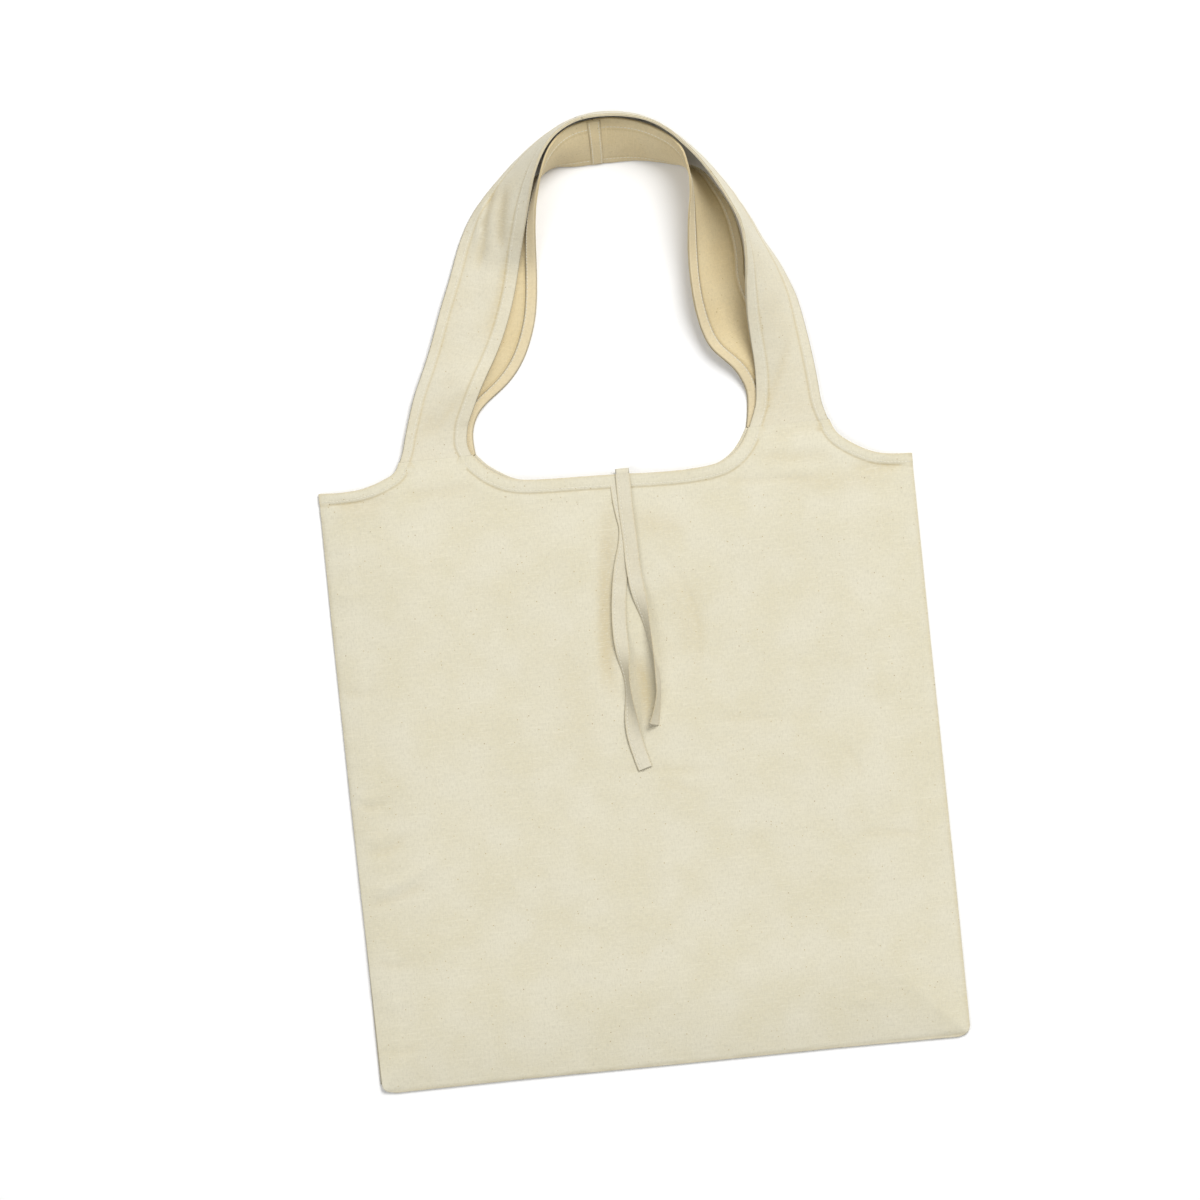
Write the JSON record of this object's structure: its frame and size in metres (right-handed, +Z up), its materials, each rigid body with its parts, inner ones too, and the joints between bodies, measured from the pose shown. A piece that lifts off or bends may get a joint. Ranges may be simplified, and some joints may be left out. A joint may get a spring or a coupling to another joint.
{
  "type": "tote bag",
  "caption": "Foldable natural cotton tote bag lying flat, with wide carrying loops cut in one with the panels, stitched hems and narrow tie tapes at its mouth.",
  "frame": {"origin": "Under the middle of the outline of the bag lying on its back, on the surface.", "axes": "+X across the bag, +Y from the bottom edge towards the loops, +Z up off the surface."},
  "size_m": [0.4, 0.6439, 0.0437],
  "materials": {
    "cotton_panel": "matte",
    "stitched_hem": "matte",
    "tie_tape": "matte"
  },
  "bodies": {
    "upper_body": {"back_armhole_hem_left": "stitched_hem", "back_armhole_hem_right": "stitched_hem", "back_neck_corner_hem_left": "stitched_hem", "back_neck_corner_hem_right": "stitched_hem", "back_neckline_hem": "stitched_hem", "back_panel_upper": "cotton_panel", "back_tie_root": "tie_tape", "front_armhole_hem_left": "stitched_hem", "front_armhole_hem_right": "stitched_hem", "front_neck_corner_hem_left": "stitched_hem", "front_neck_corner_hem_right": "stitched_hem", "front_neckline_hem": "stitched_hem", "front_panel_upper": "cotton_panel", "front_tie_tack": "tie_tape", "side_seam_upper_left": "stitched_hem", "side_seam_upper_right": "stitched_hem"},
    "lower_body": {"back_panel_lower": "cotton_panel", "bottom_seam": "stitched_hem", "front_panel_lower": "cotton_panel", "side_seam_lower_left": "stitched_hem", "side_seam_lower_right": "stitched_hem"},
    "back_loop": {"back_inner_hem_left": "stitched_hem", "back_inner_hem_right": "stitched_hem", "back_outer_hem_left": "stitched_hem", "back_outer_hem_right": "stitched_hem", "back_strap_join": "stitched_hem", "back_strap_left": "cotton_panel", "back_strap_right": "cotton_panel"},
    "front_loop": {"front_inner_hem_left": "stitched_hem", "front_inner_hem_right": "stitched_hem", "front_outer_hem_left": "stitched_hem", "front_outer_hem_right": "stitched_hem", "front_strap_join": "stitched_hem", "front_strap_left": "cotton_panel", "front_strap_right": "cotton_panel"},
    "front_tie_tape": {"front_tie": "tie_tape"},
    "back_tie_tape": {"back_tie": "tie_tape"}
  },
  "joints": [
    {"name": "lower_fold", "type": "hinge", "parent": "upper_body", "child": "lower_body", "pos_m": [0, -0.188, 0.0099], "axis": [-1, 0, 0], "range_deg": [0, 165]},
    {"name": "back_loop_swing", "type": "hinge", "parent": "upper_body", "child": "back_loop", "pos_m": [0, 0.108, 0.0049], "axis": [1, 0, 0], "range_deg": [0, 70]},
    {"name": "front_loop_swing", "type": "hinge", "parent": "back_loop", "child": "front_loop", "pos_m": [0, 0.108, 0.0049], "axis": [1, 0, 0], "range_deg": [0, 80]},
    {"name": "front_tie_lift", "type": "hinge", "parent": "upper_body", "child": "front_tie_tape", "pos_m": [0, 0.0776, 0.0125], "axis": [-1, 0, 0], "range_deg": [0, 70]},
    {"name": "back_tie_lift", "type": "hinge", "parent": "front_tie_tape", "child": "back_tie_tape", "pos_m": [0, 0.0776, 0.0125], "axis": [-1, 0, 0], "range_deg": [0, 90]}
  ]
}
